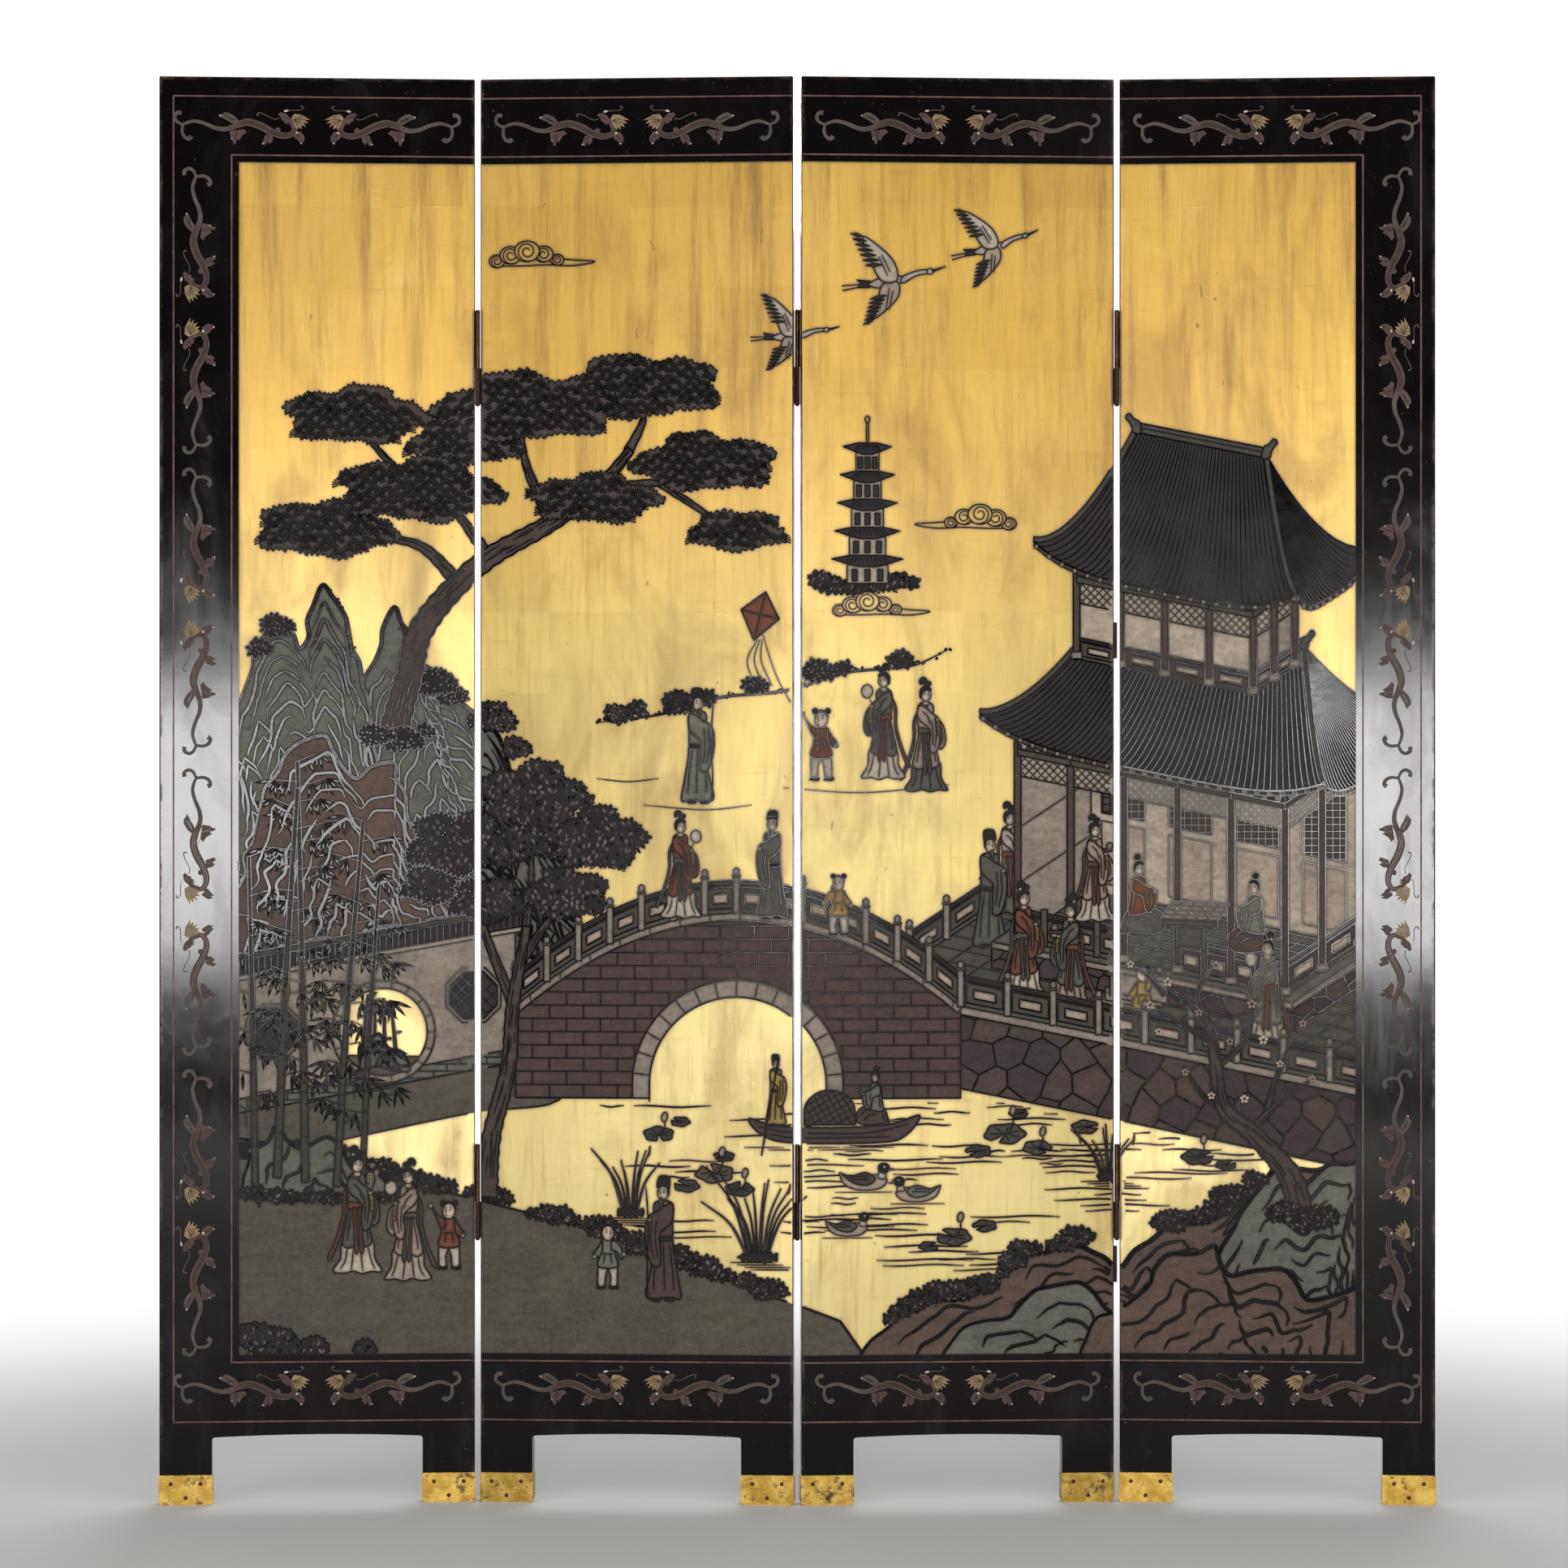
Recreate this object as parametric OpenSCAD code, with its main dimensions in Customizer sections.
// Four-panel folding screen in carved and coloured lacquer on a framed wooden core.
// Millimetres, +Z up. The origin is on the floor under the middle of the standing screen,
// and the carved faces look towards -Y. Panels are numbered 1 to 4 from the left.

/* [Panel] */
// Height of a panel above the floor
panel_h = 1829; // [1500:1:2200]
// Width of a panel
panel_w = 403; // [340:1:560]
// Thickness of the wooden core
core_t = 18; // [15:0.5:26]
// Thickness of the lacquer ground on each face
ground_t = 2; // [1.6:0.1:3]
// Roundness of the panel's outer arrises
arris_r = 1.5; // [0.5:0.1:1.5]
// Roundness of the two top corners
top_corner_r = 2.5; // [1:0.5:20]
// How far each panel is turned from flat as the screen stands, in degrees
stand_turn = 4.2; // [2:0.1:30]

/* [Core frame] */
// Width of a stile, which ends in a foot
stile_w = 67; // [50:1:90]
// Height of the top rail
top_rail_h = 80; // [50:1:120]
// Height of the bottom rail above the apron's edge
bottom_rail_h = 96; // [60:1:140]
// Thickness of the tongues and tenons
tongue_t = 6; // [4:0.5:8]
// Length of a board's tongue
tongue_l = 7; // [4:0.5:10]
// Length of a rail's tenon
tenon_l = 36; // [20:1:40]
// Shoulder above and below a tenon
tenon_shoulder = 16; // [10:1:22]
// Number of vertical boards in the core
board_count = 3; // [2:1:5]
// Play in the joinery
joinery_play = 0.2; // [0.1:0.05:0.4]

/* [Apron and feet] */
// Height of the apron's edge above the floor, beside a foot
apron_z = 86; // [70:1:130]
// Rise of the apron's edge in the middle
apron_rise = 3; // [0.5:0.5:12]
// Radius between apron and foot
apron_corner_r = 4; // [2:0.5:10]
// Radius of a foot's lower corners
foot_corner_r = 4; // [2:0.5:8]

/* [Carved face] */
// Border from a free edge to the picture field
field_side = 101; // [80:1:120]
// Border from the top to the picture field
field_top = 109; // [80:1:140]
// Height of the picture field's lower edge above the floor
field_bottom = 191; // [170:1:240]
// Depth to which the picture field is cut
field_depth = 1; // [0.5:0.1:1.2]
// Width of an incised line
line_w = 2; // [1:0.1:3]
// Depth of an incised line
line_depth = 0.6; // [0.3:0.1:1]
// From a free edge to the outer line
outer_line_side = 18; // [10:1:30]
// From the top to the outer line
outer_line_top = 25; // [12:1:40]
// Height of the outer line above the apron's edge
outer_line_rise = 20; // [12:1:40]
// From the picture field to the inner line
inner_line_gap = 9; // [4:0.5:20]

/* [Brass shoes] */
// Height of a shoe
shoe_h = 38; // [25:1:60]
// Thickness of the shoe's sheet
shoe_wall = 0.8; // [0.5:0.1:1.5]
// Thickness of the shoe's sole
shoe_sole = 1; // [0.6:0.1:3]
// Radius of a nail's head
nail_head_r = 2.6; // [1.5:0.1:4]
// Height of a nail's domed head
nail_head_h = 0.7; // [0.4:0.1:1.5]
// Radius of a nail's shank
nail_r = 0.8; // [0.5:0.1:1.2]
// Length of a nail's shank under the head
nail_l = 9; // [5:0.5:10]
// Sideways distance of the two upper nails from the foot's middle
nail_spread = 19; // [10:1:26]
// Height of the two upper nails above the floor
nail_high = 27; // [18:1:32]
// Height of the single lower nail above the floor
nail_low = 9; // [7:0.5:14]

/* [Lift-off hinges] */
// From the top of a panel down to the top hinge's parting face
hinge_drop = 371; // [200:1:600]
// Height of the bottom hinge's parting face above the floor
hinge_rise = 386; // [200:1:600]
// Length of the upper knuckle and its flag
socket_l = 73; // [50:1:100]
// Length of the lower knuckle and its flag
stub_l = 46; // [36:1:70]
// Radius of the upper knuckle
knuckle_r = 3; // [2.6:0.1:5]
// How much fatter the lower knuckle is
knuckle_step = 0.4; // [0:0.1:1]
// Space between the lower knuckle and a panel's edge
knuckle_space = 0.1; // [0.1:0.1:2]
// Radius of the pin
pin_r = 1.5; // [1:0.1:1.9]
// Radial clearance of the pin in the upper knuckle
pin_clearance = 0.05; // [0.02:0.01:0.1]
// Depth to which the pin is pressed into the lower knuckle
pin_hold = 30; // [15:1:32]
// Thickness of the metal that closes the top of the upper knuckle
socket_cap = 9; // [5:1:20]
// Space above the pin's tip and between the two knuckles
end_play = 0.3; // [0.2:0.1:1]
// Thickness of a flag
flag_t = 2; // [1.5:0.1:3]
// Depth to which a flag is let into the stile
flag_let_in = 1; // [0.5:0.1:1.4]
// Wood left on each side of a flag
flag_margin = 2; // [1:0.5:4]
// Space between folded panels' shoe nails
fold_space = 1; // [0.4:0.1:4]
// Radius of a screw's head
screw_head_r = 3; // [2.2:0.1:4]
// Radius of a screw's shank
screw_r = 1.4; // [1:0.1:1.8]
// Length of a screw
screw_l = 18; // [10:1:30]
// Depth of a screw's slot
screw_slot = 0.7; // [0.3:0.1:0.9]
// Distance of a screw from the end of its flag
screw_inset = 11; // [7:0.5:16]

/* [Edge pads] */
// Heights of the leather pads' middles on the third panel's right edge
pad_z = [305, 1108];
// Height of a pad
pad_h = 46; // [20:1:80]
// Width of a pad
pad_w = 12; // [6:0.5:14]
// Space between a pad and the next panel when flat
pad_space = 2; // [1:0.5:3]

/* [Hidden] */
panel_t = core_t + 2 * ground_t;
half_w = panel_w / 2;
foot_inner_x = half_w - stile_w;
axis_proud = shoe_wall + nail_head_h + fold_space / 2;
axis_u = knuckle_r + knuckle_step + knuckle_space;
panel_gap = 2 * axis_u;
// Half the distance between the middles of two panels, as they stand
half_pitch = (half_w + axis_u) * cos(stand_turn) + (panel_t / 2 + axis_proud) * sin(stand_turn);
bottom_rail_top = apron_z + bottom_rail_h;
top_rail_bottom = panel_h - top_rail_h;
board_w = 2 * foot_inner_x / board_count;
outer_line_z = apron_z + outer_line_rise;
bore_depth = socket_l - socket_cap;
pin_reach = bore_depth - end_play;
bore_r = pin_r + pin_clearance;
flag_v = ground_t + flag_margin;
flag_w = core_t - 2 * flag_margin;
screw_v = flag_v + flag_w / 2;
screw_head_h = screw_head_r - screw_r;
nail_spots = [[-nail_spread, nail_high], [nail_spread, nail_high], [0, nail_low]];
hinge_z = [hinge_rise, panel_h - hinge_drop];
hinge_spots = ["bottom", "top"];
strap_lap = 1;
hole_play = 0.1;
cut = 1;
arc_steps = 5;
arch_steps = 12;
dome_steps = 5;
$fn = 48;

// One row per joint: its name, the panel and edge that carry the upper flags, the panel and edge
// that carry the lower flags, and the face on which the knuckles stand. -1 is left or front.
JOINTS = [
    ["12", 1, 1, 2, -1, -1],
    ["23", 3, -1, 2, 1, 1],
    ["34", 4, -1, 3, 1, -1]
];
function joint_name(j) = j[0];
function socket_panel(j) = j[1];
function socket_side(j) = j[2];
function stub_panel(j) = j[3];
function stub_side(j) = j[4];
function joint_face(j) = j[5];
// [knuckle face, lowest z, length] of every flag let into one edge of a panel
function flags_on(panel, side) = [
    for (j = JOINTS, z = hinge_z)
        if (socket_panel(j) == panel && socket_side(j) == side) [joint_face(j), z, socket_l]
        else if (stub_panel(j) == panel && stub_side(j) == side)
            [joint_face(j), z - end_play - stub_l, stub_l]
];
function screw_heights(flag) = [flag[1] + screw_inset, flag[1] + flag[2] - screw_inset];

PANELS = [1, 2, 3, 4];
SIDES = [["left", -1], ["right", 1]];
PANEL_PIECES = [
    "left_stile", "right_stile", "top_rail", "bottom_rail", "boards", "front_ground",
    "back_ground", "left_shoe", "right_shoe", "shoe_nails", "hinge_screws"
];
HINGE_PIECES = ["top_socket", "top_stub", "bottom_socket", "bottom_stub", "pins"];

function arc(x, y, r, from, to, steps = arc_steps) =
    [for (k = [0:steps]) let (a = from + (to - from) * k / steps) [x + r * cos(a), y + r * sin(a)]];

function mirrored(points) = [for (k = [len(points) - 1:-1:0]) [-points[k][0], points[k][1]]];

// The apron's edge right of the middle, ending at the foot's inner side
function apron_half() = let (run = foot_inner_x - apron_corner_r) concat(
    [for (k = [0:arch_steps - 1]) let (x = run * k / arch_steps)
        [x, apron_z + apron_rise * (1 - pow(x / run, 2))]],
    arc(run, apron_z - apron_corner_r, apron_corner_r, 90, 0)
);

// A panel as seen from the front, without the arrises
module panel_outline() {
    right = concat(
        apron_half(),
        arc(foot_inner_x + foot_corner_r, shoe_sole + foot_corner_r, foot_corner_r, 180, 270),
        arc(half_w - foot_corner_r, shoe_sole + foot_corner_r, foot_corner_r, 270, 360),
        arc(half_w - top_corner_r, panel_h - top_corner_r, top_corner_r, 0, 90)
    );
    left = mirrored(right);
    polygon(concat(right, [for (k = [0:len(left) - 2]) left[k]]));
}

module rounded_rectangle(w, h, r) {
    polygon(concat(
        arc(w / 2 - r, h / 2 - r, r, 0, 90), arc(r - w / 2, h / 2 - r, r, 90, 180),
        arc(r - w / 2, r - h / 2, r, 180, 270), arc(w / 2 - r, r - h / 2, r, 270, 360)
    ));
}

// Draws its child, a front view, as a plate of this thickness about the panel's middle plane
module upright(t) rotate([90, 0, 0]) linear_extrude(t, center = true) children();

// The whole panel, with softened side and top arrises
module panel_envelope() {
    intersection() {
        upright(panel_t) panel_outline();
        linear_extrude(panel_h) rounded_rectangle(panel_w, panel_t, arris_r);
        rotate([90, 0, 90]) linear_extrude(panel_w, center = true)
            translate([0, panel_h / 2]) rounded_rectangle(panel_t, panel_h, arris_r);
    }
}

// Puts a panel's own frame where the panel stands
module stand(panel) {
    turn = panel % 2 == 1 ? stand_turn : -stand_turn;
    translate([(2 * panel - 5) * half_pitch, 0, 0]) rotate([0, 0, turn]) children();
}

module mirror_x(on) { if (on) mirror([1, 0, 0]) children(); else children(); }

module mirror_y(on) { if (on) mirror([0, 1, 0]) children(); else children(); }

// A frame on one edge of a panel: +X leaves the edge, +Y goes in from the face with the knuckles
module on_edge(side, face)
    translate([side * half_w, face * panel_t / 2, 0])
        mirror_x(side < 0) mirror_y(face > 0) children();

module nail_holes() {
    for (side = [-1, 1], spot = nail_spots)
        translate([side * (half_w - stile_w / 2) + spot[0], 0, spot[1]]) rotate([90, 0, 0])
            cylinder(h = panel_t + 2 * cut, r = nail_r + hole_play, center = true);
}

// ---- Core frame ----

module stile(panel, side) {
    color("burlywood") difference() {
        intersection() {
            panel_envelope();
            translate([side * (half_w - stile_w / 2), 0, panel_h / 2])
                cube([stile_w, core_t, panel_h], center = true);
        }
        board_groove(side);
        tenon_mortises(side);
        for (flag = flags_on(panel, side)) flag_seat(side, flag);
        nail_holes();
    }
}

module board_groove(side) {
    deep = tongue_l + joinery_play;
    translate([side * (foot_inner_x + deep / 2 - cut / 2), 0, (bottom_rail_top + top_rail_bottom) / 2])
        cube([deep + cut, tongue_t + 2 * joinery_play, top_rail_bottom - bottom_rail_top], center = true);
}

module tenon_mortises(side) {
    deep = tenon_l + joinery_play;
    for (z = tenon_spans())
        translate([side * (foot_inner_x + deep / 2 - cut / 2), 0, (z[0] + z[1]) / 2])
            cube([deep + cut, tongue_t + 2 * joinery_play, z[1] - z[0] + 2 * joinery_play], center = true);
}

function tenon_spans() = [
    [apron_z + tenon_shoulder, bottom_rail_top - tenon_shoulder],
    [top_rail_bottom + tenon_shoulder, panel_h - tenon_shoulder]
];

// The shallow seat of one hinge flag and the holes of its screws
module flag_seat(side, flag) {
    on_edge(side, flag[0]) {
        translate([-flag_let_in, flag_v - hole_play, flag[1] - hole_play])
            cube([flag_let_in + cut, flag_w + 2 * hole_play, flag[2] + 2 * hole_play]);
        for (z = screw_heights(flag))
            translate([-screw_l - hole_play, screw_v, z]) rotate([0, 90, 0])
                cylinder(h = screw_l + cut, r = screw_r + hole_play);
    }
}

module tenons(span) {
    for (side = [-1, 1])
        translate([side * (foot_inner_x + tenon_l / 2 - cut / 2), 0, (span[0] + span[1]) / 2])
            cube([tenon_l + cut, tongue_t, span[1] - span[0]], center = true);
}

module rail_groove(z, up) {
    deep = tongue_l + joinery_play;
    translate([0, 0, z + up * (cut - deep) / 2])
        cube([2 * foot_inner_x + cut, tongue_t + 2 * joinery_play, deep + cut], center = true);
}

module top_rail() {
    color("burlywood") union() {
        difference() {
            intersection() {
                panel_envelope();
                translate([0, 0, top_rail_bottom + top_rail_h / 2])
                    cube([2 * foot_inner_x, core_t, top_rail_h], center = true);
            }
            rail_groove(top_rail_bottom, -1);
        }
        tenons(tenon_spans()[1]);
    }
}

module bottom_rail() {
    apron = apron_half();
    color("burlywood") union() {
        difference() {
            upright(core_t) polygon(concat(
                mirrored(apron), [for (k = [1:len(apron) - 1]) apron[k]],
                [[foot_inner_x, bottom_rail_top], [-foot_inner_x, bottom_rail_top]]
            ));
            rail_groove(bottom_rail_top, 1);
        }
        tenons(tenon_spans()[0]);
    }
}

// Vertical boards, tongued into the frame and into each other
module boards() {
    body_h = top_rail_bottom - bottom_rail_top - 2 * joinery_play;
    middle_z = (top_rail_bottom + bottom_rail_top) / 2;
    color("burlywood") for (k = [0:board_count - 1]) {
        x = -foot_inner_x + board_w * (k + 0.5);
        difference() {
            union() {
                translate([x, 0, middle_z])
                    cube([board_w - joinery_play, core_t, body_h], center = true);
                translate([x, 0, middle_z])
                    cube([board_w - joinery_play, tongue_t, body_h + 2 * tongue_l], center = true);
                translate([x + board_w / 2 + tongue_l / 2 - cut / 2, 0, middle_z])
                    cube([tongue_l + cut, tongue_t, body_h], center = true);
                if (k == 0) translate([x - board_w / 2 - tongue_l / 2 + cut / 2, 0, middle_z])
                    cube([tongue_l + cut, tongue_t, body_h], center = true);
            }
            if (k > 0) translate([x - board_w / 2 + tongue_l / 2, 0, middle_z])
                cube([tongue_l + 2 * joinery_play, tongue_t + 2 * joinery_play, panel_h], center = true);
        }
    }
}

// ---- Lacquer grounds ----

function left_inset(panel, inset) = panel == 1 ? inset - half_w : -half_w - cut;
function right_inset(panel, inset) = panel == 4 ? half_w - inset : half_w + cut;

// A rectangle of incised lines that stays open where the next panel carries it on
module line_frame(panel, side_inset, low, high) {
    x = [left_inset(panel, side_inset), right_inset(panel, side_inset)];
    for (z = [low, high])
        translate([x[0] - line_w / 2, -line_depth, z - line_w / 2])
            cube([x[1] - x[0] + line_w, line_depth + cut, line_w]);
    for (k = [0, 1]) if (abs(x[k]) < half_w)
        translate([x[k] - line_w / 2, -line_depth, low])
            cube([line_w, line_depth + cut, high - low]);
}

module face_lines(panel) {
    line_frame(panel, outer_line_side, outer_line_z, panel_h - outer_line_top);
    line_frame(panel, field_side - inner_line_gap,
        field_bottom - inner_line_gap, panel_h - field_top + inner_line_gap);
}

module ground_layer(face) {
    intersection() {
        panel_envelope();
        translate([0, face * (panel_t - ground_t) / 2, panel_h / 2])
            cube([panel_w + cut, ground_t, panel_h + cut], center = true);
    }
}

module front_ground(panel) {
    x = [left_inset(panel, field_side), right_inset(panel, field_side)];
    color([0.07, 0.055, 0.05]) difference() {
        ground_layer(-1);
        translate([x[0], -panel_t / 2 - cut, field_bottom])
            cube([x[1] - x[0], field_depth + cut, panel_h - field_top - field_bottom]);
        translate([0, -panel_t / 2, 0]) mirror([0, 1, 0]) face_lines(panel);
        nail_holes();
    }
}

module back_ground(panel) {
    color([0.06, 0.05, 0.05]) difference() {
        ground_layer(1);
        translate([0, panel_t / 2, 0]) face_lines(panel);
        nail_holes();
    }
}

// ---- Brass shoes ----

// A foot as seen from the front, grown by the sheet of the shoe
module foot_outline(grow, low) {
    r = foot_corner_r + grow;
    w = stile_w / 2 + grow;
    polygon(concat(
        arc(r - w, low + r, r, 180, 270), arc(w - r, low + r, r, 270, 360),
        [[w, shoe_h], [-w, shoe_h]]
    ));
}

module shoe(side) {
    color("goldenrod") translate([side * (half_w - stile_w / 2), 0, 0]) difference() {
        upright(panel_t + 2 * shoe_wall) foot_outline(shoe_wall, 0);
        upright(panel_t) translate([0, shoe_sole]) foot_outline(0, 0);
        for (spot = nail_spots) translate([spot[0], 0, spot[1]]) rotate([90, 0, 0])
            cylinder(h = panel_t + 4 * shoe_wall, r = nail_r + hole_play, center = true);
    }
}

// A domed nail: the head's underside is at z = 0 and the shank points down
module nail() {
    point = 2 * nail_r;
    rotate_extrude() polygon(concat(
        [[0, -nail_l], [nail_r, point - nail_l], [nail_r, 0]],
        [for (k = [0:dome_steps]) let (a = 90 * k / dome_steps)
            [nail_head_r * cos(a), nail_head_h * sin(a)]]
    ));
}

module shoe_nails() {
    color("sienna") for (side = [-1, 1], face = [-1, 1], spot = nail_spots)
        translate([side * (half_w - stile_w / 2) + spot[0], face * (panel_t / 2 + shoe_wall), spot[1]])
            rotate([face < 0 ? 90 : -90, 0, 0]) nail();
}

// ---- Lift-off hinges ----

// The flag let into the edge, and the strap that runs forward along the edge to the knuckle
module flag_profile(r) {
    proud = flag_t - flag_let_in;
    translate([-flag_let_in, flag_v]) square([flag_t, flag_w]);
    polygon([
        [knuckle_space, flag_v + strap_lap], [knuckle_space, 0], [axis_u - r, -axis_proud],
        [axis_u, -axis_proud], [proud, ground_t], [proud, flag_v + strap_lap]
    ]);
}

module knuckle(r, l, low_dome, high_dome) {
    rotate_extrude() polygon(concat(
        [[0, low_dome > 0 ? -low_dome : 0]],
        [for (k = [dome_steps - 1:-1:0]) let (a = 90 * k / dome_steps)
            if (low_dome > 0) [r * cos(a), -low_dome * sin(a)]],
        low_dome > 0 ? [] : [[r, 0]],
        [[r, l]],
        [for (k = [1:dome_steps]) let (a = 90 * k / dome_steps)
            if (high_dome > 0) [r * cos(a), l + high_dome * sin(a)]],
        high_dome > 0 ? [] : [[0, l]]
    ));
}

module countersinks(l) {
    for (z = [screw_inset, l - screw_inset])
        translate([flag_t - flag_let_in, screw_v, z]) rotate([0, 90, 0]) {
            translate([0, 0, -screw_head_h]) cylinder(h = screw_head_h, r1 = screw_r, r2 = screw_head_r);
            translate([0, 0, -flag_t - cut]) cylinder(h = flag_t + 2 * cut, r = screw_r + hole_play);
        }
}

// The upper half: a blind socket that drops over the pin
module socket_flag(j, z) {
    color("darkgoldenrod") stand(socket_panel(j)) on_edge(socket_side(j), joint_face(j))
        translate([0, 0, z]) difference() {
            union() {
                linear_extrude(socket_l) flag_profile(knuckle_r);
                translate([axis_u, -axis_proud, 0]) knuckle(knuckle_r, socket_l, 0, knuckle_r / 2);
            }
            translate([axis_u, -axis_proud, -cut]) cylinder(h = bore_depth + cut, r = bore_r);
            countersinks(socket_l);
        }
}

// The lower half: a stub with a rounded end, which holds the pin
module stub_flag(j, z) {
    r = knuckle_r + knuckle_step;
    color("dimgray") stand(stub_panel(j)) on_edge(stub_side(j), joint_face(j))
        translate([0, 0, z - end_play - stub_l]) difference() {
            union() {
                linear_extrude(stub_l) flag_profile(r);
                translate([axis_u, -axis_proud, 0]) knuckle(r, stub_l, r, 0);
            }
            translate([axis_u, -axis_proud, stub_l - pin_hold]) cylinder(h = pin_hold + cut, r = pin_r);
            countersinks(stub_l);
        }
}

module pins(j) {
    hidden = pin_hold + end_play;
    color("silver") stand(stub_panel(j)) on_edge(stub_side(j), joint_face(j)) for (z = hinge_z)
        translate([axis_u, -axis_proud, z - hidden]) {
            cylinder(h = hidden + pin_reach - pin_r, r = pin_r);
            translate([0, 0, hidden + pin_reach - pin_r]) cylinder(h = pin_r, r1 = pin_r, r2 = pin_r / 2);
        }
}

// A slotted wood screw: the head's face is at z = 0 and the shank points down
module screw() {
    slot_w = screw_head_r / 4;
    difference() {
        rotate_extrude() polygon([
            [0, -screw_l], [screw_r, 2 * screw_r - screw_l], [screw_r, -screw_head_h],
            [screw_head_r, 0], [0, 0]
        ]);
        cube([3 * screw_head_r, slot_w, 2 * screw_slot], center = true);
    }
}

module hinge_screws(panel) {
    color("darkgoldenrod") for (side = [-1, 1], flag = flags_on(panel, side), z = screw_heights(flag))
        on_edge(side, flag[0]) translate([flag_t - flag_let_in, screw_v, z]) rotate([0, 90, 0]) screw();
}

// ---- Edge pads ----

module edge_pads() {
    t = panel_gap - pad_space;
    color("black") stand(3) for (z = pad_z)
        translate([half_w, 0, z - pad_h / 2]) difference() {
            rotate([0, 0, 90]) linear_extrude(pad_h) translate([0, -t / 2]) rounded_rectangle(pad_w, t, t / 4);
            translate([-t, -pad_w, -cut]) cube([t, 2 * pad_w, pad_h + 2 * cut]);
        }
}

// ---- The screen ----

for (i = PANELS) {
    name = str("panel_", i, "_");
    for (s = SIDES) {
        stand(i) stile(i, s[1]);
        stand(i) shoe(s[1]);
    }
    stand(i) top_rail();
    stand(i) bottom_rail();
    stand(i) boards();
    stand(i) front_ground(i);
    stand(i) back_ground(i);
    stand(i) shoe_nails();
    stand(i) hinge_screws(i);
}
for (j = JOINTS) {
    name = str("hinge_", joint_name(j), "_");
    for (k = [0, 1]) {
        socket_flag(j, hinge_z[k]);
        stub_flag(j, hinge_z[k]);
    }
    pins(j);
}
edge_pads();
